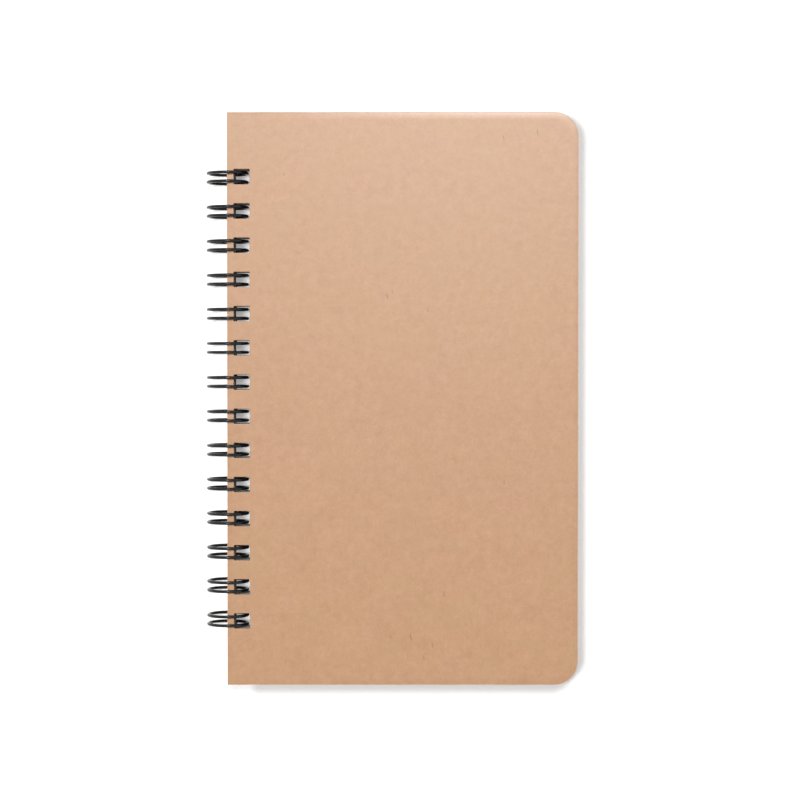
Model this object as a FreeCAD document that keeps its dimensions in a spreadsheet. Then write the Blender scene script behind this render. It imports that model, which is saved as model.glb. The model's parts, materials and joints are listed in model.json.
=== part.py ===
import FreeCAD, Part
import math
import os
import Sketcher

# A ring-bound notebook, closed and lying on its back cover, in millimetres.
# +Z is up, +X runs from the wire loops to the fore edge, +Y to the head of the page.
# The origin is under the middle of the whole book, on the surface that it lies on.

# Driving dimensions: name in the sheet, value, meaning
DRIVING = [
    ("cover_width", 130.5, "cover from spine edge to fore edge"),
    ("cover_height", 213.0, "cover from tail to head"),
    ("cover_thickness", 1.5, "board of each cover"),
    ("cover_corner", 9.0, "corner radius at the fore edge"),
    ("cover_edge", 0.4, "rounding pressed on the outer edge of a cover"),
    ("block_thickness", 9.0, "about 80 sheets"),
    ("block_setback", 0.6, "spine edge of the sheets behind that of the covers"),
    ("fore_overhang", 1.4, "cover past the sheets at the fore edge"),
    ("end_overhang", 1.5, "cover past the sheets at head and tail"),
    ("loop_pitch", 12.7, "two loops to the inch"),
    ("loop_end_room", 20.0, "least distance from a cover's end to the middle of a loop"),
    ("twin_spacing", 3.3, "between the two legs of a loop"),
    ("wire_diameter", 1.15, "coated steel wire"),
    ("hole_margin", 2.45, "board left between a hole and the spine edge"),
    ("spine_gap", 0.2, "spine edge of the covers behind the axis of the rings"),
    ("margin_clearance", 0.24, "wire to the outer corner of a cover's margin"),
    ("hole_clearance", 0.7, "wire to the far side of a cover's hole"),
    ("side_clearance", 0.625, "wire to the side of a hole"),
    ("base_angle", 295.3, "where the legs start, from +X over the top, so that the tips lie flat underneath"),
    ("base_bend", 0.9, "bend from a leg into the bar beside it"),
    ("tip_clearance", 1.6, "tip of a loop to the start of its own legs"),
    ("cut_end", 2.0, "straight stub at each end of the wire"),
]

# Sizes that follow from the driving ones, as expressions on the sheet
HALF_STACK = "(Sizes.block_thickness / 2 + Sizes.cover_thickness)"
MARGIN_FROM_AXIS = "(Sizes.spine_gap + Sizes.hole_margin)"
RING_INNER = f"(sqrt({MARGIN_FROM_AXIS}^2 + {HALF_STACK}^2) + Sizes.margin_clearance)"
RING_OUTER = f"({RING_INNER} + Sizes.wire_diameter)"
AXIS_X = f"(({RING_OUTER} - Sizes.spine_gap - Sizes.cover_width) / 2)"
AXIS_Z = RING_OUTER
COVER_X = f"({AXIS_X} + Sizes.spine_gap)"
BLOCK_X = f"({COVER_X} + Sizes.block_setback)"
BLOCK_WIDTH = "(Sizes.cover_width - Sizes.block_setback - Sizes.fore_overhang)"
BLOCK_HEIGHT = "(Sizes.cover_height - 2 * Sizes.end_overhang)"
BLOCK_CORNER = "(Sizes.cover_corner - Sizes.fore_overhang)"
BLOCK_MARGIN = "(Sizes.hole_margin - Sizes.block_setback)"
LOOP_SPACES = "floor((Sizes.cover_height - 2 * Sizes.loop_end_room) / Sizes.loop_pitch)"
HOLE_WIDTH = f"({RING_OUTER} + Sizes.hole_clearance - {MARGIN_FROM_AXIS})"
HOLE_HEIGHT = "(Sizes.twin_spacing + Sizes.wire_diameter + 2 * Sizes.side_clearance)"

# A sketch counts a line's two points from 1, and its own axes from -1 downwards
START, END = range(1, 3)
X_AXIS, Y_AXIS = range(-1, -3, -1)
SKETCH_ORIGIN = (X_AXIS, START)


def fill_sheet(doc):
    """Put the driving dimensions in a sheet, one to a row, with their names as aliases."""
    sheet = doc.addObject("Spreadsheet::Sheet", "Sizes")
    for row, (name, value, meaning) in enumerate(DRIVING, start=1):
        sheet.set(f"A{row}", name)
        sheet.set(f"B{row}", str(value))
        sheet.set(f"C{row}", meaning)
        sheet.setAlias(f"B{row}", name)
    doc.recompute()
    return sheet


def flat_sketch(body, name):
    """Start a sketch on the body's own XY plane."""
    sketch = body.newObject("Sketcher::SketchObject", name)
    plane = [f for f in body.Origin.OriginFeatures if f.Role == "XY_Plane"][0]
    sketch.AttachmentSupport = [(plane, "")]
    sketch.MapMode = "FlatFace"
    return sketch


def size_constraint(sketch, name, expression, *constraint):
    """Add a measured constraint, name it and bind it to the sheet."""
    index = sketch.addConstraint(Sketcher.Constraint(*constraint))
    sketch.renameConstraint(index, name)
    sketch.setExpression(f"Constraints.{name}", expression)


def draw_outline(sketch, width, height, corner):
    """A leaf with its spine edge on the Y axis and round corners at the fore edge."""
    w, y, r = 120.0, 100.0, 8.0
    vec = FreeCAD.Vector
    up = vec(0, 0, 1)
    quarter = math.pi / 2
    spine = sketch.addGeometry(Part.LineSegment(vec(0, -y, 0), vec(0, y, 0)))
    head = sketch.addGeometry(Part.LineSegment(vec(0, y, 0), vec(w - r, y, 0)))
    head_arc = sketch.addGeometry(
        Part.ArcOfCircle(Part.Circle(vec(w - r, y - r, 0), up, r), 0, quarter))
    fore = sketch.addGeometry(Part.LineSegment(vec(w, r - y, 0), vec(w, y - r, 0)))
    tail_arc = sketch.addGeometry(
        Part.ArcOfCircle(Part.Circle(vec(w - r, r - y, 0), up, r), -quarter, 0))
    tail = sketch.addGeometry(Part.LineSegment(vec(0, -y, 0), vec(w - r, -y, 0)))
    sketch.addConstraint([
        Sketcher.Constraint("Coincident", spine, END, head, START),
        Sketcher.Constraint("Coincident", spine, START, tail, START),
        Sketcher.Constraint("Tangent", head, END, head_arc, END),
        Sketcher.Constraint("Tangent", fore, END, head_arc, START),
        Sketcher.Constraint("Tangent", fore, START, tail_arc, END),
        Sketcher.Constraint("Tangent", tail, END, tail_arc, START),
        Sketcher.Constraint("Equal", head_arc, tail_arc),
        Sketcher.Constraint("Horizontal", head),
        Sketcher.Constraint("Horizontal", tail),
        Sketcher.Constraint("Vertical", fore),
        Sketcher.Constraint("PointOnObject", spine, START, Y_AXIS),
        Sketcher.Constraint("Symmetric", spine, START, spine, END, X_AXIS),
    ])
    size_constraint(sketch, "leaf_height", height, "DistanceY", spine, START, spine, END, 2 * y)
    size_constraint(sketch, "leaf_width", width, "DistanceX", *SKETCH_ORIGIN, fore, START, w)
    size_constraint(sketch, "leaf_corner", corner, "Radius", head_arc, r)


def draw_hole(sketch, margin):
    """The lowest hole of the row. One die punches covers and sheets alike, so their holes line up."""
    left, right, low, high = 2.0, 8.0, -90.0, -84.0
    corners = [(left, low), (right, low), (right, high), (left, high)]
    sides = []
    for i, (x, y) in enumerate(corners):
        x2, y2 = corners[(i + 1) % 4]
        line = Part.LineSegment(FreeCAD.Vector(x, y, 0), FreeCAD.Vector(x2, y2, 0))
        sides.append(sketch.addGeometry(line))
    bottom, far, top, near = sides
    sketch.addConstraint(
        [Sketcher.Constraint("Coincident", sides[i], END, sides[(i + 1) % 4], START)
         for i in range(4)]
        + [Sketcher.Constraint("Horizontal", side) for side in (bottom, top)]
        + [Sketcher.Constraint("Vertical", side) for side in (far, near)])
    row_drop = f"{LOOP_SPACES} * Sizes.loop_pitch / 2 + {HOLE_HEIGHT} / 2"
    size_constraint(sketch, "margin", margin,
                    "DistanceX", *SKETCH_ORIGIN, bottom, START, left)
    size_constraint(sketch, "hole_width", HOLE_WIDTH,
                    "DistanceX", bottom, START, bottom, END, right - left)
    size_constraint(sketch, "hole_height", HOLE_HEIGHT,
                    "DistanceY", far, START, far, END, high - low)
    size_constraint(sketch, "row_drop", row_drop,
                    "DistanceY", bottom, START, *SKETCH_ORIGIN, -low)


def cut_hole_row(doc, body, base, margin):
    """Pocket the lowest hole, then repeat it up the spine at the pitch of the loops."""
    label = body.Label
    sketch = flat_sketch(body, f"{label}_hole")
    draw_hole(sketch, margin)
    pocket = body.newObject("PartDesign::Pocket", f"{label}_hole_pocket")
    pocket.Profile = sketch
    pocket.Type = "ThroughAll"
    pocket.Midplane = True
    row = body.newObject("PartDesign::LinearPattern", f"{label}_hole_row")
    row.Originals = [pocket]
    row.Direction = (sketch, ["V_Axis"])
    row.Mode = "Spacing"
    row.setExpression("Offset", "Sizes.loop_pitch")
    row.setExpression("Occurrences", f"{LOOP_SPACES} + 1")
    body.Tip = row
    doc.recompute()
    if not row.Shape.Volume < pocket.Shape.Volume < base.Shape.Volume:
        raise RuntimeError(f"the holes of {label} cut nothing")


def leaf_body(doc, label, width, height, corner, thickness):
    """A flat leaf: the padded outline, still without its holes."""
    body = doc.addObject("PartDesign::Body", label)
    body.Label = label
    sketch = flat_sketch(body, f"{label}_outline")
    draw_outline(sketch, width, height, corner)
    pad = body.newObject("PartDesign::Pad", f"{label}_pad")
    pad.Profile = sketch
    pad.setExpression("Length", thickness)
    doc.recompute()
    return body, pad


def place_leaf(body, x, z):
    """Set the leaf's spine edge and its underside where the stack has them."""
    body.setExpression("Placement.Base.x", x)
    body.setExpression("Placement.Base.z", z)


def make_cover(doc, label, outer_side_up, z):
    """A board cover whose outer edge is pressed round, with its row of holes."""
    body, pad = leaf_body(doc, label, "Sizes.cover_width", "Sizes.cover_height",
                          "Sizes.cover_corner", "Sizes.cover_thickness")
    rim_z = pad.Shape.BoundBox.ZMax if outer_side_up else pad.Shape.BoundBox.ZMin
    rim = [f"Edge{i}" for i, edge in enumerate(pad.Shape.Edges, start=1)
           if abs(edge.BoundBox.ZMin - rim_z) < 1e-6 and abs(edge.BoundBox.ZMax - rim_z) < 1e-6]
    edge_round = body.newObject("PartDesign::Fillet", f"{label}_edge")
    edge_round.Base = (pad, rim)
    edge_round.setExpression("Radius", "Sizes.cover_edge")
    doc.recompute()
    cut_hole_row(doc, body, edge_round, "Sizes.hole_margin")
    place_leaf(body, COVER_X, z)
    return body


def make_page_block(doc):
    """All the sheets as one solid, a little smaller than the covers."""
    body, pad = leaf_body(doc, "page_block", BLOCK_WIDTH, BLOCK_HEIGHT,
                          BLOCK_CORNER, "Sizes.block_thickness")
    cut_hole_row(doc, body, pad, BLOCK_MARGIN)
    place_leaf(body, BLOCK_X, f"{AXIS_Z} - Sizes.block_thickness / 2")
    return body


def ring_sizes(sheet):
    """Radius of the wire's centre line, the axis of the rings, and the row of loops."""
    half_stack = sheet.block_thickness / 2 + sheet.cover_thickness
    margin_from_axis = sheet.spine_gap + sheet.hole_margin
    inner = math.hypot(margin_from_axis, half_stack) + sheet.margin_clearance
    outer = inner + sheet.wire_diameter
    axis_x = (outer - sheet.spine_gap - sheet.cover_width) / 2
    spaces = math.floor((sheet.cover_height - 2 * sheet.loop_end_room) / sheet.loop_pitch)
    middles = [(i - spaces / 2) * sheet.loop_pitch for i in range(spaces + 1)]
    return inner + sheet.wire_diameter / 2, axis_x, outer, middles


def loop_edges(ring_point, along, middle, sheet, radius):
    """Edges of one loop: bend, leg, tip, leg, bend. The legs are ring arcs."""
    half = sheet.twin_spacing / 2
    bend = sheet.base_bend
    reach = math.degrees((half + sheet.tip_clearance) / radius)
    first = sheet.base_angle
    last = first + 360 - reach
    y_axis = FreeCAD.Vector(0, 1, 0)

    def leg(side, start, end):
        y = middle + side * half
        points = [ring_point(angle, y) for angle in (start, (start + end) / 2, end)]
        return Part.Arc(*points).toShape()

    def base_bend(side):
        centre = ring_point(first, middle + side * half) + y_axis * (side * bend)
        on_bar = centre - along(first) * bend
        between = centre - (along(first) + y_axis * side) * (bend / math.sqrt(2))
        on_leg = centre - y_axis * (side * bend)
        ends = (on_bar, between, on_leg)
        return Part.Arc(*(ends if side < 0 else ends[::-1])).toShape(), on_bar

    apex = ring_point(last, middle) + along(last) * half
    tip = Part.Arc(ring_point(last, middle - half), apex, ring_point(last, middle + half)).toShape()
    bend_in, arrives = base_bend(-1)
    bend_out, leaves = base_bend(1)
    edges = [bend_in, leg(-1, first, last), tip, leg(1, last, first), bend_out]
    return edges, arrives, leaves


def wire_route(sheet):
    """Centre line of the whole binding: loops joined by short bars, with a stub at each end."""
    radius, axis_x, axis_z, middles = ring_sizes(sheet)

    def ring_point(angle, y):
        a = math.radians(angle)
        return FreeCAD.Vector(axis_x + radius * math.cos(a), y, axis_z + radius * math.sin(a))

    def along(angle):
        a = math.radians(angle)
        return FreeCAD.Vector(-math.sin(a), 0, math.cos(a))

    stub = FreeCAD.Vector(0, sheet.cut_end, 0)
    edges = []
    leaves = None
    for middle in middles:
        loop, arrives, next_leaves = loop_edges(ring_point, along, middle, sheet, radius)
        bar_start = leaves if leaves else arrives - stub
        edges.append(Part.LineSegment(bar_start, arrives).toShape())
        edges.extend(loop)
        leaves = next_leaves
    edges.append(Part.LineSegment(leaves, leaves + stub).toShape())
    return Part.Wire(edges)


def make_wire_binding(doc, sheet):
    """One length of round wire swept along the bent centre line."""
    route = doc.addObject("Part::Feature", "wire_route")
    route.Shape = wire_route(sheet)
    start = route.Shape.Vertexes[0].Point
    section = doc.addObject("Part::Circle", "wire_section")
    section.setExpression("Radius", "Sizes.wire_diameter / 2")
    facing_bar = FreeCAD.Rotation(FreeCAD.Vector(0, 0, 1), FreeCAD.Vector(0, 1, 0))
    section.Placement = FreeCAD.Placement(start, facing_bar)
    doc.recompute()
    sweep = doc.addObject("Part::Sweep", "wire_binding")
    sweep.Label = "wire_binding"
    sweep.Sections = [section]
    sweep.Spine = (route, [f"Edge{i + 1}" for i in range(len(route.Shape.Edges))])
    sweep.Solid = True
    sweep.Frenet = False
    doc.recompute()
    expected = math.pi * (sheet.wire_diameter / 2) ** 2 * route.Shape.Length
    if abs(sweep.Shape.Volume / expected - 1) > 0.01:
        raise RuntimeError("the wire's volume is not its section times its length")
    return sweep


def check_document(doc, parts):
    """Stop if any feature failed or a finished shape is empty or not valid."""
    for thing in doc.Objects:
        if {"Invalid", "Error"} & set(thing.State):
            raise RuntimeError(f"{thing.Name} failed")
    for part in parts:
        if part.Shape.isNull() or not part.Shape.isValid():
            raise RuntimeError(f"{part.Label} has no valid shape")


def main():
    doc = FreeCAD.newDocument("notebook")
    sheet = fill_sheet(doc)
    parts = [
        make_cover(doc, "back_cover", False, f"{AXIS_Z} - {HALF_STACK}"),
        make_page_block(doc),
        make_cover(doc, "front_cover", True, f"{AXIS_Z} + Sizes.block_thickness / 2"),
        make_wire_binding(doc, sheet),
    ]
    doc.recompute()
    check_document(doc, parts)
    os.makedirs("parts", exist_ok=True)
    for part in parts:
        part.Shape.exportStep(f"parts/{part.Label}.step")
        box = part.Shape.BoundBox
        print(part.Label, len(part.Shape.Solids), round(part.Shape.Volume, 2),
              [round(v, 3) for v in (box.XMin, box.YMin, box.ZMin, box.XMax, box.YMax, box.ZMax)])


main()
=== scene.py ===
# %% [markdown]
# A wire-bound notebook, dressed for its portrait.
# The solid model gives the sizes: two board covers, a block of sheets and a twin-loop wire.
# This lesson gives each of them the surface that a camera sees: brown kraft board with pressed
# edges, a stack of thin sheets, and smooth black-coated wire. Then it lights the book from above.

# %% Load the fixed frame
import json
import math

import bpy
import numpy as np
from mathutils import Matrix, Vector
from mathutils.geometry import delaunay_2d_cdt


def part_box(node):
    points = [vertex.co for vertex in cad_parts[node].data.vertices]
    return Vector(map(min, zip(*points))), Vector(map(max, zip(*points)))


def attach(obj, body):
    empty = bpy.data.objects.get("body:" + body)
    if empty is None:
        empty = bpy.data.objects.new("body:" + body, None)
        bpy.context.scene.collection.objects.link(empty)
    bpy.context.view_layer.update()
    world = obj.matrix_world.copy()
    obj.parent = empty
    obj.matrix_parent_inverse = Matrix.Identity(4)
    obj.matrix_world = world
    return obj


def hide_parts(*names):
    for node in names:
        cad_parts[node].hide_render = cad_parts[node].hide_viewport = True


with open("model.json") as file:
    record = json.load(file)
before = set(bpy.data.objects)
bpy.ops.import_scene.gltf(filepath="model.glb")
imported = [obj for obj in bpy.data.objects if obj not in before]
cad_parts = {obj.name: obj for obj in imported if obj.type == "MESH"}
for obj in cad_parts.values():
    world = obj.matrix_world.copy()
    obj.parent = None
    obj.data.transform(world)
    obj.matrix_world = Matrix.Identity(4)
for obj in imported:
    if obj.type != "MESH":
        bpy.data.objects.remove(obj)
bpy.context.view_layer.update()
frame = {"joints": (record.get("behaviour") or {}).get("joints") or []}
MM = 0.001

# %% [markdown]
# The camera comes first, because every later choice is judged through it. The book lies on its back
# and is seen from straight above, so the camera hangs over it and looks down. How far away it hangs
# shows in the loops: near the head and the tail the far side of a loop peeps out beside its near
# side, and between them lies the one place where they hide each other, right under the lens.
# The lens leans a little towards the tail, which makes the tail slightly narrower, and a small lens
# shift puts the book in the middle of the picture without leaning it further.

# %% Place the camera
PHOTO_PIXELS = 800
LENS_PIXELS = 2033.0
CAMERA_HEIGHT = 755 * MM
UNDER_LENS = (3.05 * MM, 17.6 * MM)
TILT_PIXELS = 33.0
SHIFT_PIXELS = -15.2
SENSOR = 36.0

cover_low, cover_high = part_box("front_cover")
camera_data = bpy.data.cameras.new("overhead")
camera_data.sensor_width = SENSOR
camera_data.lens = LENS_PIXELS / PHOTO_PIXELS * SENSOR
camera_data.shift_y = SHIFT_PIXELS / PHOTO_PIXELS
camera = bpy.data.objects.new("overhead", camera_data)
bpy.context.scene.collection.objects.link(camera)
camera.location = (*UNDER_LENS, cover_high.z + CAMERA_HEIGHT)
camera.rotation_euler = (-math.atan(TILT_PIXELS / LENS_PIXELS), 0, 0)
bpy.context.scene.camera = camera
bpy.context.scene.view_settings.view_transform = "Standard"
print("lens", round(camera_data.lens, 1), "mm")

# %% [markdown]
# Everything turns about the axis of the rings, and the solid model states it as a joint. The sizes
# of the covers, the sheets and the wire are read from the frame's boxes, so nothing here is a second
# opinion about how large the book is. The few sizes that no box can tell, such as the pitch of the
# loops, the holes and the corners, are the solid model's own, written once more.

# %% Read the sizes of the pieces
hinge = {joint["name"]: joint for joint in frame["joints"]}["pages_turn"]
RING_X, _, RING_Z = hinge["pos_m"]
block_low, block_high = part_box("page_block")
wire_low, wire_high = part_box("wire_binding")

LOOP_COUNT = 14
LOOP_PITCH = 12.7 * MM
LOOP_MIDDLES = (np.arange(LOOP_COUNT) - (LOOP_COUNT - 1) / 2) * LOOP_PITCH
TWIN_SPACING = 3.3 * MM
WIRE_RADIUS = 0.575 * MM
RING_OUTER = min(wire_high.z - RING_Z, RING_Z - wire_low.z, RING_X - wire_low.x)
HOLE_MARGIN = 2.45 * MM
HOLE_SIZE = np.array([6.0, 5.7]) * MM
COVER_CORNER = 9.0 * MM
BLOCK_CORNER = 7.6 * MM
print("ring outside", round(RING_OUTER * 2 / MM, 2), "mm, board",
      round((cover_high.z - cover_low.z) / MM, 2), "mm")

# %% [markdown]
# A leaf, whether board or paper, is an outline carried through a profile. The outline is a closed
# path with, at each point, the direction in which the edge moves out when the leaf grows. A leaf's
# outline has square corners at the spine and round ones at the fore edge. A punched hole is a
# small rectangle, with its corners just off square as a die leaves them.

# %% Outlines
SPINE_SHARE = 0.6
FORE_ARC_POINTS = 13
HOLE_ARC_POINTS = 4


def quarter_turn(count):
    """Angles evenly spread from 0 to a quarter turn, with both ends."""
    return np.linspace(0, math.pi / 2, count)


def leaf_outline(width, height, corner):
    """Counter-clockwise path from the tail of the spine, and how each point moves when it grows.

    Spine corners are square, so they move diagonally, and less towards the spine, where the holes
    leave little room. The two fore-edge corners are arcs: centre plus radius times (cos, sin), and
    they move straight out from their centre.
    """
    half = height / 2
    turn = quarter_turn(FORE_ARC_POINTS)
    low_arc = np.stack([np.sin(turn), -np.cos(turn)], 1)
    high_arc = np.stack([np.cos(turn), np.sin(turn)], 1)
    centre = width - corner
    path = np.concatenate([
        [[0, -half]],
        low_arc * corner + [centre, corner - half],
        high_arc * corner + [centre, half - corner],
        [[0, half]]])
    out = np.concatenate([[[-SPINE_SHARE, -1]], low_arc, high_arc, [[-SPINE_SHARE, 1]]])
    return path, out


def divide_sides(path, out, step):
    """Add points on the long straight sides, with each new point moving as its side does.

    A point is its side's start plus its share of the side, and it moves square to the side.
    """
    side = np.roll(path, -1, axis=0) - path
    length = np.linalg.norm(side, axis=1)
    count = np.maximum((length / step).astype(int), 1)
    start = np.cumsum(count) - count
    which = np.repeat(np.arange(len(path)), count)
    share = (np.arange(len(which)) - start[which]) / count[which]
    along = side / length[:, None]
    moves = np.stack([along[:, 1], -along[:, 0]], 1)[which]
    moves[start] = out
    return path[which] + side[which] * share[:, None], moves


def hole_outline(low, corner):
    """Counter-clockwise rectangle from its low corner, and how its points move as it grows.

    Each corner is a quarter circle: centre plus radius times (cos, sin), turned a quarter further
    than the one before.
    """
    turn = quarter_turn(HOLE_ARC_POINTS)
    quarter = np.stack([np.cos(turn), np.sin(turn)], 1)
    quarters = [quarter @ np.array([[c, s], [-s, c]]) for c, s in ((-1, 0), (0, -1), (1, 0), (0, 1))]
    inner = HOLE_SIZE - 2 * corner
    centres = [low + corner + inner * k for k in ((0, 0), (1, 0), (1, 1), (0, 1))]
    path = np.concatenate([c + q * corner for c, q in zip(centres, quarters)])
    return path, np.concatenate(quarters)


print("points to a corner: fore edge", FORE_ARC_POINTS, "hole", HOLE_ARC_POINTS)

# %% [markdown]
# A profile is a list of steps: how far in from the edge, and how high. Carrying the outline through
# it gives rings of points, and each ring is joined to the next by quads. A hole is the same thing
# seen from inside.


# %% Rings
def carry(path, out, grow, heights, shift=None):
    """Rings of points: path plus grow times its outward move, at each height, all shifted by ring."""
    flat = path[None] + grow[:, None, None] * out[None]
    if shift is not None:
        flat = flat + shift[:, None, :]
    up = np.broadcast_to(heights[:, None, None], flat.shape[:2] + (1,))
    return np.concatenate([flat, up], 2)


def carry_holes(spine, corner, grow, heights, shift=None):
    """The rings of every hole in a leaf, HOLE_MARGIN in from the spine and one to each loop."""
    holes = []
    for middle in LOOP_MIDDLES:
        low = np.array([spine + HOLE_MARGIN, middle - HOLE_SIZE[1] / 2])
        path, out = hole_outline(low, corner)
        holes.append(carry(path, out, grow, heights, shift))
    return holes


def ring_quads(rings, first, inside=False):
    """Quads between successive closed rings, facing outwards, or into the hole if inside."""
    levels, count = rings.shape[:2]
    index = first + np.arange(levels * count).reshape(levels, count)
    ahead = np.roll(index, -1, axis=1)
    low, high = index[1:], index[:-1]
    quads = np.stack([low, ahead[1:], ahead[:-1], high], 2).reshape(-1, 4)
    return quads[:, ::-1] if inside else quads


print("holes in a leaf", len(LOOP_MIDDLES), "each with", 4 * HOLE_ARC_POINTS, "points to a ring")

# %% [markdown]
# The flat faces between the last rings and the holes are no grid, so they are filled with triangles.
# A constrained triangulation takes every ring as edges that it must keep. It fills the holes too,
# and those triangles are dropped again.

# %% Fill a flat face around its holes
INSIDE_ONLY = 1
SAME_POINT = 1e-9


def fill_flat(loops, upwards):
    """Triangles between an outer ring and hole rings, given as (first index, points) pairs.

    A triangle whose middle lies in the box of a hole ring is dropped, which is what opens the
    holes. A triangle's turn is the cross product of two of its sides, and one that turns the wrong
    way round has its corners reversed.
    """
    points = np.concatenate([ring[:, :2] for _, ring in loops])
    number = np.concatenate([first + np.arange(len(ring)) for first, ring in loops])
    edges, start = [], 0
    for _, ring in loops:
        index = start + np.arange(len(ring))
        edges.append(np.stack([index, np.roll(index, -1)], 1))
        start += len(ring)
    vectors = [Vector(point) for point in points]
    _, _, filled, *_ = delaunay_2d_cdt(
        vectors, np.concatenate(edges).tolist(), [], INSIDE_ONLY, SAME_POINT)
    triangles = np.array(filled)
    corners = points[triangles]
    middles = corners.mean(1)
    keep = np.ones(len(triangles), bool)
    for _, ring in loops[1:]:
        low, high = ring[:, :2].min(0), ring[:, :2].max(0)
        keep &= ~((middles > low) & (middles < high)).all(1)
    a, b, c = corners.transpose(1, 0, 2)
    turn = (b - a)[:, 0] * (c - a)[:, 1] - (b - a)[:, 1] * (c - a)[:, 0]
    wrong = (turn > 0) != upwards
    triangles[wrong] = triangles[wrong][:, ::-1]
    return number[triangles[keep]]


# %% [markdown]
# A finished leaf has an outer band, a band round each hole, and two filled faces. One function
# makes them all, because a cover and a block of eighty sheets differ only in their profiles. It
# also keeps two numbers at each point, which the materials read: "cut" is 1 on a cut edge and 0 on
# a face, and "press" grows from 0 to 1 down a slope that the cutter pressed and polished. On the
# sheets "press" marks the walls of the holes, where the paper material paints shade.


# %% Make a leaf
def add_piece(name, points, faces):
    """A mesh object in the scene, from its points and the faces that join them."""
    mesh = bpy.data.meshes.new(name)
    mesh.from_pydata(points, [], faces)
    piece = bpy.data.objects.new(name, mesh)
    bpy.context.scene.collection.objects.link(piece)
    print(name, len(mesh.vertices), "points", len(mesh.polygons), "faces")
    return piece


def make_leaf(name, outer, outer_marks, holes, hole_marks):
    """Mesh object from the outer rings, the rings of each hole, and a (cut, press) pair per ring."""
    points, marks = [outer.reshape(-1, 3)], [np.repeat(outer_marks, outer.shape[1], 0)]
    quads = [ring_quads(outer, 0)]
    top, bottom = [(0, outer[0])], [((len(outer) - 1) * outer.shape[1], outer[-1])]
    first = outer.shape[0] * outer.shape[1]
    for rings in holes:
        points.append(rings.reshape(-1, 3))
        marks.append(np.repeat(hole_marks, rings.shape[1], 0))
        quads.append(ring_quads(rings, first, inside=True))
        top.append((first, rings[0]))
        bottom.append((first + (len(rings) - 1) * rings.shape[1], rings[-1]))
        first += rings.shape[0] * rings.shape[1]
    faces = np.concatenate(quads).tolist()
    faces += fill_flat(top, True).tolist() + fill_flat(bottom, False).tolist()
    piece = add_piece(name, np.concatenate(points).tolist(), faces)
    for column, mark in enumerate(("cut", "press")):
        attribute = piece.data.attributes.new(mark, "FLOAT", "POINT")
        attribute.data.foreach_set("value", np.concatenate(marks)[:, column].astype(np.float32))
    piece.data.shade_smooth()
    return piece


# %% [markdown]
# The covers are stiff board, cut with a blade that presses the rim down before it bites through.
# So the outer face slopes away over its last three millimetres and ends in a small round, and that
# soft slope is what catches the light along the head. The inner face keeps a crisp edge. The
# profile begins and ends with a narrow flat ring, so that the shading of the slope can't spread
# over the flat faces.

# %% The cut edge of the board
PRESS_WIDTH = 3.0 * MM
PRESS_DROP = 0.10 * MM
EDGE_ROUND = 0.30 * MM
INNER_ROUND = 0.08 * MM
FLAT_RING = 0.15 * MM
SLOPE_RINGS = 9
EDGE_RINGS = 7
INNER_RINGS = 3


def rounded_rim(radius, count):
    """A quarter circle from the face over the rim: distance in from the edge, and drop."""
    turn = quarter_turn(count)
    return radius * (1 - np.sin(turn)), radius * (1 - np.cos(turn))


def board_profile(thickness):
    """Distance in and drop below the outer face, from the flat of that face round to the inner one.

    The pressed slope falls by PRESS_DROP times the square of how far it has gone. The (cut, press)
    pairs come with it: the face, the edge and the last flat ring.
    """
    slope_in = np.linspace(PRESS_WIDTH, EDGE_ROUND, SLOPE_RINGS)
    gone = (PRESS_WIDTH - slope_in) / (PRESS_WIDTH - EDGE_ROUND)
    slope_drop = PRESS_DROP * gone**2
    rim_in, rim_drop = rounded_rim(EDGE_ROUND, EDGE_RINGS)
    under_in, under_drop = rounded_rim(INNER_ROUND, INNER_RINGS)
    inward = np.concatenate([[PRESS_WIDTH + FLAT_RING], slope_in, rim_in[1:],
                             under_in[::-1], [INNER_ROUND + FLAT_RING]])
    drop = np.concatenate([[0], slope_drop, PRESS_DROP + rim_drop[1:],
                           thickness - under_drop[::-1], [thickness]])
    # The cut mark starts at the round of the rim: the pale core there is a painted edge highlight.
    face, edge = len(slope_in) + 1, len(rim_in) + len(under_in) - 1
    cut = np.concatenate([np.zeros(face), np.ones(edge), [0]])
    press = np.concatenate([[0], gone, np.ones(edge), [0]])
    return inward, drop, np.stack([cut, press], 1)


print("the slope starts", PRESS_WIDTH / MM, "mm in and falls by", PRESS_DROP / MM, "mm")

# %% [markdown]
# The holes are punched from outside too, by a small die that rounds the rim far less. Their profile
# has the same flat rings at both ends, for the same reason.

# %% The punched rim of the board
PUNCH_ROUND = 0.12 * MM
PUNCH_RINGS = 4


def punched_profile(thickness):
    """Distance out from the hole's wall and drop below the outer face, from face to face.

    The upper rim is a quarter circle and the lower one a bevel. Of the pairs that come with it,
    the flat ring and the start of the round count as face, and the last flat ring too.
    """
    rim_in, rim_drop = rounded_rim(PUNCH_ROUND, PUNCH_RINGS)
    outward = np.concatenate([[PUNCH_ROUND + FLAT_RING], rim_in,
                              [0, INNER_ROUND, INNER_ROUND + FLAT_RING]])
    drop = np.concatenate([[0], rim_drop, [thickness - INNER_ROUND, thickness, thickness]])
    face = PUNCH_RINGS - 1
    cut = np.concatenate([np.zeros(face), np.ones(len(outward) - face - 1), [0]])
    return outward, drop, np.stack([cut, np.zeros(len(cut))], 1)


print("a hole's rim is a round of", PUNCH_ROUND / MM, "mm")

# %% [markdown]
# Both covers are the same board with its outer face away from the sheets. So the back one is made
# like the front one and then mirrored in height, with its rings in the opposite order to keep the
# faces pointing outwards.

# %% Covers
COVER_HOLE_CORNER = 0.35 * MM


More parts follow.
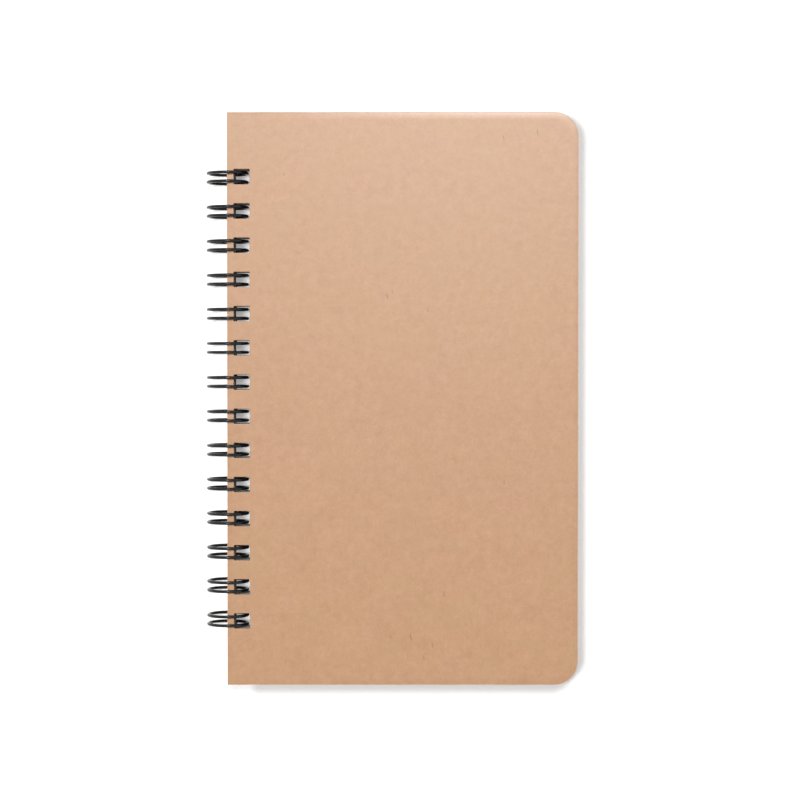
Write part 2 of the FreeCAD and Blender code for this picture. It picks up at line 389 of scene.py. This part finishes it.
def make_cover(name, node, outer_face_up):
    """One board in its node's box: outline and holes carried down from the outer face."""
    low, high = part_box(node)
    thickness = high.z - low.z
    path, out = leaf_outline(high.x - low.x, high.y - low.y, COVER_CORNER)
    inward, drop, marks = board_profile(thickness)
    outward, hole_drop, hole_marks = punched_profile(thickness)
    outer = carry(path + [low.x, 0], out, -inward, -drop)
    holes = carry_holes(low.x, COVER_HOLE_CORNER, outward, -hole_drop)
    if outer_face_up:
        for rings in (outer, *holes):
            rings[:, :, 2] += high.z
    else:
        for rings in (outer, *holes):
            rings[:, :, 2] = low.z - rings[:, :, 2]
        outer, marks = outer[::-1], marks[::-1]
        holes, hole_marks = [rings[::-1] for rings in holes], hole_marks[::-1]
    return make_leaf(name, outer, marks, holes, hole_marks)


front_board = make_cover("front_board", "front_cover", True)
back_board = make_cover("back_board", "back_cover", False)

# %% [markdown]
# The sheets are one solid in the model, but the eye reads them as a stack: each sheet is cut a hair
# differently and lies a hair off its neighbours. So the block's walls get two rings of points to a
# sheet, one at its top and one at its underside, and each sheet has its own small shift. The shift
# is a random step for the sheet by itself plus a slow drift that its neighbours share. The holes get
# a flat ring on both faces of the block, so that the painted shade on their walls ends at their
# rims. A hair of air parts the block from the boards, since two faces in one plane would flicker.

# %% Sheets
SHEET_COUNT = 80
SHEET_STRAY = 0.05 * MM
STRAY_LIMIT = 3 * SHEET_STRAY
STACK_DRIFT = 0.015 * MM
SHEET_HOLE_CORNER = 0.3 * MM
SIDE_STEP = 9 * MM
HAIR = 0.003 * MM
rng = np.random.default_rng(11)


def sheet_shifts():
    """How far each sheet lies from the block's own place, in x and y, from the top sheet down."""
    stray = rng.normal(0, SHEET_STRAY, (SHEET_COUNT, 2))
    drift = np.cumsum(rng.normal(0, STACK_DRIFT, (SHEET_COUNT, 2)), 0)
    return np.clip(stray + drift - drift.mean(0), -STRAY_LIMIT, STRAY_LIMIT)


def make_sheets():
    """The stack: one outline carried down, two rings to a sheet, each pair with its sheet's shift."""
    edges = np.linspace(block_high.z - HAIR, block_low.z + HAIR, SHEET_COUNT + 1)
    heights = np.repeat(edges, 2)[1:-1]
    shift = np.repeat(sheet_shifts(), 2, axis=0)
    width, height = block_high.x - block_low.x, block_high.y - block_low.y
    path, out = divide_sides(*leaf_outline(width, height, BLOCK_CORNER), SIDE_STEP)
    outer = carry(path + [block_low.x, 0], out, np.zeros(len(heights)), heights, shift)
    hole_rows = np.pad(np.arange(len(heights)), 1, "edge")
    hole_grow = np.zeros(len(hole_rows))
    hole_grow[[0, -1]] = FLAT_RING
    holes = carry_holes(cover_low.x, SHEET_HOLE_CORNER, hole_grow, heights[hole_rows], shift[hole_rows])
    edge_marks = np.tile([1.0, 0.0], (len(heights), 1))
    # The walls of the holes are marked with press 1, which is where the paper paints its shade.
    hole_marks = np.ones((len(hole_rows), 2))
    hole_marks[[0, -1]] = 0
    return make_leaf("sheets", outer, edge_marks, holes, hole_marks)


sheets = make_sheets()
sheets.data.shade_flat()

# %% [markdown]
# The binding is one wire, bent flat into a comb and then rolled round. Each loop is a pair of legs
# that are arcs of the ring, joined by a round tip; at the foot of each leg a small bend turns into
# the straight bar beside it. Because every stretch lies either in a ring's plane or in a plane that
# touches the ring, the ring's own radius is always square to the wire.

# %% The wire's centre line
BASE_ANGLE = math.radians(295.3)
BASE_BEND = 0.9 * MM
TIP_CLEARANCE = 1.6 * MM
RING_RADIUS = RING_OUTER - WIRE_RADIUS
TIP_ANGLE = BASE_ANGLE + 2 * math.pi - (TWIN_SPACING / 2 + TIP_CLEARANCE) / RING_RADIUS
LEG_STEPS = 72
BEND_STEPS = 9


def ring_frame(angle):
    """Outward radius and forward tangent of the ring at each angle, in the XZ plane."""
    zero = np.zeros_like(angle)
    radius = np.stack([np.cos(angle), zero, np.sin(angle)], 1)
    tangent = np.stack([-np.sin(angle), zero, np.cos(angle)], 1)
    return radius, tangent


def leg_stations(side, forwards):
    """Points, directions and radii along a leg: an arc of the ring at its own height up the spine."""
    angle = np.linspace(BASE_ANGLE, TIP_ANGLE, LEG_STEPS)
    radius, tangent = ring_frame(angle if forwards else angle[::-1])
    points = radius * RING_RADIUS + [0, side * TWIN_SPACING / 2, 0]
    return points, tangent if forwards else -tangent, radius


def bend_stations(angle, centre_y, size, turns):
    """A round bend in the plane that touches the ring: along the tangent by sine, up by cosine."""
    radius, tangent = ring_frame(np.full(len(turns), angle))
    up = np.array([0.0, 1.0, 0.0])
    along, rise = np.sin(turns)[:, None], np.cos(turns)[:, None]
    points = radius * RING_RADIUS + tangent * along * size + up * (centre_y + rise * size)
    return points, tangent * rise - up * along, radius


def loop_stations():
    """One whole loop: bend, leg, tip, leg, bend, without the stations that two stretches share."""
    half = TWIN_SPACING / 2
    quarter = quarter_turn(BEND_STEPS)
    bend_in = bend_stations(BASE_ANGLE, -half - BASE_BEND, BASE_BEND, -quarter[::-1])
    bend_out = bend_stations(BASE_ANGLE, half + BASE_BEND, BASE_BEND, math.pi + quarter)
    tip = bend_stations(TIP_ANGLE, 0, half, math.pi - np.linspace(0, math.pi, 2 * BEND_STEPS))
    stretches = [
        bend_in,
        leg_stations(-1, True),
        (tip[0], -tip[1], tip[2]),
        leg_stations(1, False),
        (bend_out[0], -bend_out[1], bend_out[2])]
    return [np.concatenate([part[k][(0 if n == 0 else 1):] for n, part in enumerate(stretches)])
            for k in range(3)]


loop = loop_stations()
print("one loop of the wire has", len(loop[0]), "stations")

# %% [markdown]
# A tube needs a direction across the wire at every station, and one that doesn't twist. The ring's
# radius is such a direction all the way, and its cross product with the wire is a second one. The
# loops follow each other up the spine, so the bar between two of them needs no stations of its own:
# the tube simply runs on from the end of one bend to the start of the next.

# %% The wire as a tube
TUBE_SIDES = 18
CUT_END = 2.0 * MM
END_NIP = 0.12 * MM


def make_wire(points, ahead, radius):
    """The whole wire, from the stations of one loop, with a straight cut end at the tail and head.

    A point of the tube is the centre line plus half the wire's thickness times the sum of the
    ring's unit radius times cosine and the crossing direction times sine.
    """
    rises = np.zeros((LOOP_COUNT, 1, 3))
    rises[:, 0, 1] = LOOP_MIDDLES
    line = (points[None] + rises).reshape(-1, 3)
    ahead, radius = np.tile(ahead, (LOOP_COUNT, 1)), np.tile(radius, (LOOP_COUNT, 1))
    up = np.array([[0.0, 1.0, 0.0]])
    line = np.concatenate([line[:1] - up * CUT_END, line[:1] - up * (CUT_END - END_NIP), line,
                           line[-1:] + up * (CUT_END - END_NIP), line[-1:] + up * CUT_END])
    ahead = np.concatenate([up, up, ahead, up, up])
    radius = np.concatenate([radius[:1], radius[:1], radius, radius[-1:], radius[-1:]])
    line += [RING_X, 0, RING_Z]
    thick = np.full(len(line), WIRE_RADIUS)
    thick[[0, -1]] -= END_NIP
    turn = np.linspace(0, 2 * math.pi, TUBE_SIDES, endpoint=False)
    across = np.cross(ahead, radius)
    circle = np.cos(turn)[None, :, None] * radius[:, None] + np.sin(turn)[None, :, None] * across[:, None]
    grid = line[:, None] + thick[:, None, None] * circle
    index = np.arange(len(line) * TUBE_SIDES).reshape(-1, TUBE_SIDES)
    side = np.roll(index, -1, axis=1)
    quads = np.stack([index[:-1], index[1:], side[1:], side[:-1]], 2).reshape(-1, 4)
    faces = quads[:, ::-1].tolist() + [index[0].tolist(), index[-1][::-1].tolist()]
    piece = add_piece("wire", grid.reshape(-1, 3).tolist(), faces)
    piece.data.shade_smooth()
    length = np.linalg.norm(np.diff(line, axis=0), axis=1).sum()
    print("its centre line is", round(length / MM), "mm long")
    return piece


wire = make_wire(*loop)

# %% [markdown]
# Materials are sums: a base colour plus a little of this noise and a little of that. Written as
# node links by hand they can't be read, so one small class wraps a socket and lets Python's own
# plus, minus and times add the nodes.


# %% A socket that can be reckoned with
class Wave:
    """A number or colour that varies over a surface, inside one material's node tree."""

    def __init__(self, tree, socket):
        self.tree, self.socket = tree, socket

    def reckon(self, operation, other=None, swap=False, clamp=False):
        """A maths node on this value and another one, the other first if swap."""
        node = self.tree.nodes.new("ShaderNodeMath")
        node.operation, node.use_clamp = operation, clamp
        for slot, value in enumerate((other, self) if swap else (self, other)):
            if isinstance(value, Wave):
                self.tree.links.new(value.socket, node.inputs[slot])
            elif value is not None:
                node.inputs[slot].default_value = value
        return Wave(self.tree, node.outputs[0])

    def __add__(self, other):
        return self.reckon("ADD", other)

    def __sub__(self, other):
        return self.reckon("SUBTRACT", other)

    def __rsub__(self, other):
        return self.reckon("SUBTRACT", other, swap=True)

    def __mul__(self, other):
        return self.reckon("MULTIPLY", other)

    __radd__, __rmul__ = __add__, __mul__

    def above(self, start, width):
        """0 below start, rising to 1 over width."""
        return (self - start).reckon("DIVIDE", width, clamp=True)


# %% [markdown]
# A second class holds one material while it is made. It hands out noise, marks and mixed colours as
# such values, measured in the piece's own metres, and feeds the results to one Principled shader.

# %% A material under construction
RELIEF = 0.02 * MM


class Finish:
    """A Principled shader and the nodes that feed it."""

    def __init__(self, name, **constants):
        self.material = bpy.data.materials.new(name)
        self.material.use_nodes = True
        self.tree = self.material.node_tree
        self.shader = self.tree.nodes["Principled BSDF"]
        for socket, value in constants.items():
            self.shader.inputs[socket.replace("_", " ")].default_value = value
        self.place = self.node("ShaderNodeTexCoord", output="Object")

    def node(self, kind, settings=None, output=0, **sockets):
        """Any node: its settings first, then values or links for its sockets."""
        node = self.tree.nodes.new(kind)
        for key, value in (settings or {}).items():
            setattr(node, key, value)
        for name, value in sockets.items():
            socket = node.inputs[name.replace("_", " ")]
            if isinstance(value, Wave):
                self.tree.links.new(value.socket, socket)
            else:
                socket.default_value = value
        return Wave(self.tree, node.outputs[output])

    def noise(self, scale, detail, rough, place=None):
        """Soft noise between 0 and 1, with scale in lumps to the metre."""
        return self.node("ShaderNodeTexNoise", None, "Fac", Vector=place or self.place,
                         Scale=scale, Detail=detail, Roughness=rough)

    def turned(self, angle, stretch):
        """Object coordinates turned about Z by angle, then stretched along each axis."""
        spun = self.node("ShaderNodeMapping", {"vector_type": "POINT"}, Vector=self.place,
                         Rotation=(0, 0, angle))
        return self.node("ShaderNodeMapping", {"vector_type": "POINT"}, Vector=spun, Scale=stretch)

    def mark(self, name):
        """The number that the mesh keeps at each point under this name."""
        return self.node("ShaderNodeAttribute", {"attribute_name": name}, "Fac")

    def mix(self, factor, first, second):
        """Colour mix: first where factor is 0, second where it is 1.

        The node has a pair of sockets for each kind of value. Those for colours are 6 and 7, with
        the result at 2.
        """
        node = self.tree.nodes.new("ShaderNodeMix")
        node.data_type = "RGBA"
        for number, value in ((0, factor), (6, first), (7, second)):
            socket = node.inputs[number]
            if isinstance(value, Wave):
                self.tree.links.new(value.socket, socket)
            else:
                socket.default_value = value if socket.type == "VALUE" else (*value, 1.0)
        return Wave(self.tree, node.outputs[2])

    def feed(self, **links):
        """Link values to the shader's sockets, named with _ for a space."""
        for socket, wave in links.items():
            self.tree.links.new(wave.socket, self.shader.inputs[socket.replace("_", " ")])

    def bump(self, height, strength):
        """Feed the normal from a height, of which 1 stands RELIEF proud of 0."""
        self.feed(Normal=self.node("ShaderNodeBump", None, "Normal", Strength=strength,
                                   Distance=RELIEF, Height=height))

    def done(self):
        """The finished material, with a word on how many nodes it took."""
        print(self.material.name, len(self.tree.nodes), "nodes")
        return self.material


# %% [markdown]
# Kraft board is brown because its fibres were never bleached. Close up it is a felt of short fibres
# lying every way, some paler and some darker than the rest, with here and there a dark splinter of
# bark. A fibre is one lump of a noise that is stretched along it, so four such noises, each turned
# another way and kept only where it is highest, lay a felt of strokes. The splinters are rarer: a
# second, broad noise leaves most of them out.

# %% Fibres and splinters
FIBRE_SIZE = (1.9 * MM, 0.42 * MM)
FIBRE_ANGLES = (0.1, 0.9, 1.6, 2.4)
FIBRE_NOISE = {"scale": 0.6, "detail": 1.0, "rough": 0.4}
FIBRE_FADE = 0.12
BARK_SIZE = (1.9 * MM, 0.45 * MM)
BARK_ANGLE = 1.4
BARK_NOISE = {"scale": 0.42, "detail": 0.0, "rough": 0.5}
BARK_RAMP = (0.80, 0.03)
THINNING_NOISE = {"scale": 33.0, "detail": 0.0, "rough": 0.5}
THINNING_RAMP = (0.70, 0.01)


def fibre_field(finish, threshold, offset):
    """Strokes every way: the highest of the stretched noises, from 0 at the threshold to 1."""
    length, width = FIBRE_SIZE
    strokes = None
    for angle in FIBRE_ANGLES:
        place = finish.turned(angle + offset, (1 / length, 1 / width, 1 / width))
        stroke = finish.noise(place=place, **FIBRE_NOISE).above(threshold, FIBRE_FADE)
        strokes = stroke if strokes is None else strokes.reckon("MAXIMUM", stroke)
    return strokes


def bark_splinters(finish):
    """A few dark slivers: the stretched noise that places them times the broad one that thins them."""
    length, width = BARK_SIZE
    place = finish.turned(BARK_ANGLE, (1 / length, 1 / width, 1.0))
    slivers = finish.noise(place=place, **BARK_NOISE).above(*BARK_RAMP)
    return slivers * finish.noise(**THINNING_NOISE).above(*THINNING_RAMP)


print("a fibre is", *(round(size / MM, 2) for size in FIBRE_SIZE), "mm, a splinter",
      *(round(size / MM, 2) for size in BARK_SIZE), "mm")

# %% [markdown]
# From further off the board is cloudy, and its hue wanders between pink and straw. All of this is
# faint: the whole face varies by a few parts in a hundred, between a darker and a paler brown. The
# pressed rim is smoother than the face. The cut edge shows the pale core with its layers, and the
# same pale colour over the round of the rim above it is a painted highlight along the edge.

# %% Kraft board
KRAFT_LOW = (0.392, 0.198, 0.092)
KRAFT_HIGH = (0.548, 0.314, 0.184)
KRAFT_STRAW = (0.456, 0.276, 0.122)
BARK = (0.20, 0.09, 0.050)
# The board's pale core, which over the round of the rim is also a painted highlight.
PALE_CORE_AND_RIM_HIGHLIGHT = (0.72, 0.52, 0.38)
CORE_DARK = (0.50, 0.32, 0.21)
CLOUD_NOISE = {"scale": 95.0, "detail": 3.0, "rough": 0.6}
MOTTLE_NOISE = {"scale": 290.0, "detail": 1.0, "rough": 0.6}
FELT_NOISE = {"scale": 800.0, "detail": 1.0, "rough": 0.5}
HUE_NOISE = {"scale": 70.0, "detail": 2.0, "rough": 0.5}
HUE_RAMP = (0.38, 0.26)
PALE_FIBRES = {"threshold": 0.60, "offset": 0.0}
DARK_FIBRES = {"threshold": 0.61, "offset": 0.4}
SHARES = {"cloud": 0.46, "mottle": 0.56, "felt": 0.20, "pale": 0.16, "dark": 0.15,
          "straw": 0.24, "bark": 0.5, "layers": 0.5}
LAYER_NOISE = {"scale": 1.0, "detail": 2.0, "rough": 0.6}
LAYER_STRETCH = (260.0, 260.0, 9000.0)
LAYER_RAMP = (0.35, 0.3)
CUT_RAMP = (0.4, 0.3)
BOARD_ROUGH = {"face": 0.39, "cloud": 0.08, "press": 0.07}
BOARD_RELIEF = {"pale": 0.5, "felt": 0.5, "cloud": 0.3}
BOARD_BUMP = 0.25


def kraft_board():
    """Brown board. Its level between the two browns is a half plus each noise's share."""
    finish = Finish("kraft_board", IOR=1.45, Specular_IOR_Level=0.95)
    cloud = finish.noise(**CLOUD_NOISE)
    mottle = finish.noise(**MOTTLE_NOISE)
    felt = finish.noise(**FELT_NOISE)
    pale = fibre_field(finish, **PALE_FIBRES)
    dark = fibre_field(finish, **DARK_FIBRES)
    patches = ((cloud - 0.5) * SHARES["cloud"] + (mottle - 0.5) * SHARES["mottle"]
               + (felt - 0.5) * SHARES["felt"])
    level = 0.5 + patches + pale * SHARES["pale"] - dark * SHARES["dark"]
    straw = finish.noise(**HUE_NOISE).above(*HUE_RAMP)
    colour = finish.mix(level, KRAFT_LOW, KRAFT_HIGH)
    colour = finish.mix(straw * SHARES["straw"], colour, KRAFT_STRAW)
    colour = finish.mix(bark_splinters(finish) * SHARES["bark"], colour, BARK)
    layers = finish.noise(place=finish.turned(0.0, LAYER_STRETCH), **LAYER_NOISE).above(*LAYER_RAMP)
    core_and_rim_highlight = finish.mix(layers * SHARES["layers"], PALE_CORE_AND_RIM_HIGHLIGHT, CORE_DARK)
    # The cut mark lays the pale core on the cut edge and, as a painted highlight, on the round of the
    # rim.
    finish.feed(Base_Color=finish.mix(finish.mark("cut").above(*CUT_RAMP), colour, core_and_rim_highlight))
    rough = cloud * BOARD_ROUGH["cloud"] + BOARD_ROUGH["face"]
    finish.feed(Roughness=rough - finish.mark("press") * BOARD_ROUGH["press"])
    relief = pale * BOARD_RELIEF["pale"] + felt * BOARD_RELIEF["felt"] + cloud * BOARD_RELIEF["cloud"]
    finish.bump(relief, BOARD_BUMP)
    return finish.done()


board_material = kraft_board()

# %% [markdown]
# The sheets are uncoated paper, warm white. On the block's edge each sheet is a line, a little
# lighter or darker than the next, so the noise there is squeezed hard along Z. The faces that
# show when the book is open stay plain. The walls of the holes get painted shade, dark where
# they turn away from the lamp beyond the head. The one on the tail side, which faces that lamp,
# stays pale.

# %% Paper
PAPER = (0.83, 0.805, 0.755)
PAPER_EDGE = (0.66, 0.63, 0.575)
# Painted shade for the walls of the holes that turn away from the head lamp.
PAINTED_WALL_SHADE = (0.13, 0.12, 0.11)
LINE_NOISE = {"scale": 1.0, "detail": 1.0, "rough": 0.5}
LINE_STRETCH = (25.0, 25.0, 6500.0)
LINE_RAMP = (0.42, 0.2)
LINE_SHARE = 0.45
PULP_NOISE = {"scale": 900.0, "detail": 3.0, "rough": 0.6}
PULP_SHARE = 0.1
WALL_SHADE_SHARE = 0.85
PAPER_ROUGH = 0.7
PAPER_BUMP = 0.2


def paper():
    """Off-white sheets. A hole wall's painted shade is its mark times one less how far it faces the head.
    """
    finish = Finish("paper", IOR=1.4, Specular_IOR_Level=0.35)
    lines = finish.noise(place=finish.turned(0.0, LINE_STRETCH), **LINE_NOISE).above(*LINE_RAMP)
    pulp = finish.noise(**PULP_NOISE)
    facing = finish.node("ShaderNodeTexCoord", output="Normal")
    to_head, up = (finish.node("ShaderNodeSeparateXYZ", None, axis, Vector=facing) for axis in "YZ")
    edge = 1.0 - up.reckon("ABSOLUTE")
    colour = finish.mix(lines * edge * LINE_SHARE, PAPER, PAPER_EDGE)
    colour = finish.mix(pulp * PULP_SHARE, colour, PAPER_EDGE)
    # Painted shade: each hole wall darkens as it turns away from the head lamp, and the one facing it
    # stays pale.
    turned_from_head_lamp = 1.0 - to_head.reckon("MAXIMUM", 0.0)
    colour = finish.mix(finish.mark("press") * turned_from_head_lamp * WALL_SHADE_SHARE, colour, PAINTED_WALL_SHADE)
    finish.feed(Base_Color=colour, Roughness=pulp * PULP_SHARE + PAPER_ROUGH)
    finish.bump(pulp, PAPER_BUMP)
    return finish.done()


paper_material = paper()

# %% [markdown]
# The wire is steel with a tough black coat. It is smooth enough to carry a soft streak of light
# along its top and a grey rim where it turns to face the white table, but the coat has a faint
# unevenness that keeps the streak from looking drawn.

# %% Coated wire
COAT_BLACK = (0.003, 0.003, 0.004)
COAT_GREY = (0.009, 0.009, 0.011)
COAT_NOISE = {"scale": 260.0, "detail": 3.0, "rough": 0.6}
GRAIN_NOISE = {"scale": 5200.0, "detail": 2.0, "rough": 0.5}
GRAIN_RELIEF = 0.5
COAT_ROUGH = 0.16
COAT_ROUGH_SWING = 0.12
COAT_BUMP = 0.25


def coated_wire():
    """Black coat: its grey and its roughness rise together with one noise."""
    finish = Finish("coated_wire", IOR=1.5, Specular_IOR_Level=0.32)
    patch = finish.noise(**COAT_NOISE)
    grain = finish.noise(**GRAIN_NOISE)
    finish.feed(Base_Color=finish.mix(patch, COAT_BLACK, COAT_GREY),
                Roughness=patch * COAT_ROUGH_SWING + COAT_ROUGH)
    finish.bump(grain * GRAIN_RELIEF + patch, COAT_BUMP)
    return finish.done()


wire_material = coated_wire()

# %% [markdown]
# Each piece now gets its material and its place in the book: the node of the solid model that it
# stands for and the body that it moves with. The front cover and the sheets turn, and the back
# cover and the wire stay where they are.

# %% Dress the pieces and hang them on their bodies
for piece, node, body, record_slot, material in (
        (front_board, "front_cover", "front", "cover_board", board_material),
        (back_board, "back_cover", "base", "cover_board", board_material),
        (sheets, "page_block", "pages", "sheets", paper_material),
        (wire, "wire_binding", "base", "binding_wire", wire_material)):
    piece.data.materials.append(material)
    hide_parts(node)
    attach(piece, body)
    print(piece.name, "stands for", node, "and rides", body)

# %% [markdown]
# The table is white and wide. To the camera it should be the white of the page around the book, but
# it still has to take the book's shadow, so it is an ordinary matt white with a little light of its
# own that only the camera sees, directly or mirrored in the wire. Towards the spine that light is
# stronger, as over a white card: what shows through the holes is paler, and beside the spine the
# thin shadows of the loops drown in it. The light steps up twice, and both steps lie under the book.

# %% Table
TABLE_SIZE = 3.0
TABLE_WHITE = (0.92, 0.92, 0.92)
TABLE_LIFT = (0.06, 0.06, 0.06)
HOLE_LIFT = (0.32, 0.32, 0.32)
SPINE_LIFT = (0.38, 0.38, 0.38)
HOLE_SIDE = cover_low.x + 10.0 * MM
HOLE_STEP = 3.0 * MM
SPINE_SIDE = cover_low.x + 1.4 * MM
SPINE_STEP = 1.0 * MM


def seen_by_camera(tree):
    """1 for a ray that the camera sends out, or that a mirror or a clear piece sends on for it."""
    path = tree.nodes.new("ShaderNodeLightPath")
    camera_ray, glossy, through = (Wave(tree, path.outputs[f"Is {kind} Ray"])
                                   for kind in ("Camera", "Glossy", "Transmission"))
    return camera_ray.reckon("MAXIMUM", glossy).reckon("MAXIMUM", through)


def make_table():
    """A flat square under the book. Its own light is a mix of the three lifts, by how far it lies
    beyond each of the two sides.
    """
    half = TABLE_SIZE / 2
    corners = [(-half, -half, 0), (half, -half, 0), (half, half, 0), (-half, half, 0)]
    table = add_piece("table", corners, [(0, 1, 2, 3)])
    finish = Finish("table_white", Base_Color=(*TABLE_WHITE, 1), Roughness=0.9,
                    Specular_IOR_Level=0.1, Emission_Strength=1.0)
    across = finish.node("ShaderNodeSeparateXYZ", None, "X", Vector=finish.place)
    beside = (SPINE_SIDE - across).above(0.0, SPINE_STEP)
    below = (HOLE_SIDE - across).above(0.0, HOLE_STEP)
    lift = finish.mix(beside, finish.mix(below, TABLE_LIFT, HOLE_LIFT), SPINE_LIFT)
    finish.feed(Emission_Color=finish.mix(seen_by_camera(finish.tree), (0, 0, 0), lift))
    table.data.materials.append(finish.done())


make_table()

# %% [markdown]
# Two lamps light the book, as in a small studio: one from the left and one beyond the head, both
# high. Each draws its own narrow shadow, the left one along the fore edge and the other along the
# tail. In a hole they light different parts of what lies below: the left lamp reaches the right of
# it, and the lamp beyond the head reaches its foot. Only the lamp beyond the head shines in the
# board, most near the head and less and less down the cover. A dim pale room fills in.

# %% Light
LAMPS = {
    "left": {"place": (-0.63, 0.03, 2.5), "size": 0.50, "share": 0.52, "shines": False},
    "head": {"place": (0.12, 0.80, 2.5), "size": 0.58, "share": 0.49, "shines": True},
}
ROOM_SHARE = 0.10


def make_lamp(name, place, size, share, shines):
    """A round lamp facing the book, which gives a white page its share of full white.

    Its watts are share times pi squared times distance squared, over the cosine of its slant.
    """
    data = bpy.data.lights.new(name, "AREA")
    data.shape, data.size = "DISK", size
    place = Vector(place)
    data.energy = share * math.pi**2 * place.length_squared / (place.z / place.length)
    lamp = bpy.data.objects.new(name, data)
    bpy.context.scene.collection.objects.link(lamp)
    lamp.location = place
    lamp.rotation_euler = place.to_track_quat("Z", "Y").to_euler()
    lamp.visible_glossy = shines
    print(name, "lamp", round(data.energy, 1), "watts")


def make_room():
    """An even room of ROOM_SHARE of full white, which the camera itself sees as white."""
    world = bpy.data.worlds.new("room")
    world.use_nodes = True
    tree = world.node_tree
    background = tree.nodes["Background"]
    background.inputs["Color"].default_value = (1, 1, 1, 1)
    strength = seen_by_camera(tree) * (1 - ROOM_SHARE) + ROOM_SHARE
    tree.links.new(strength.socket, background.inputs["Strength"])
    bpy.context.scene.world = world
    print(world.name, ROOM_SHARE, "of full white")


for lamp_name, settings in LAMPS.items():
    make_lamp(lamp_name, **settings)
make_room()
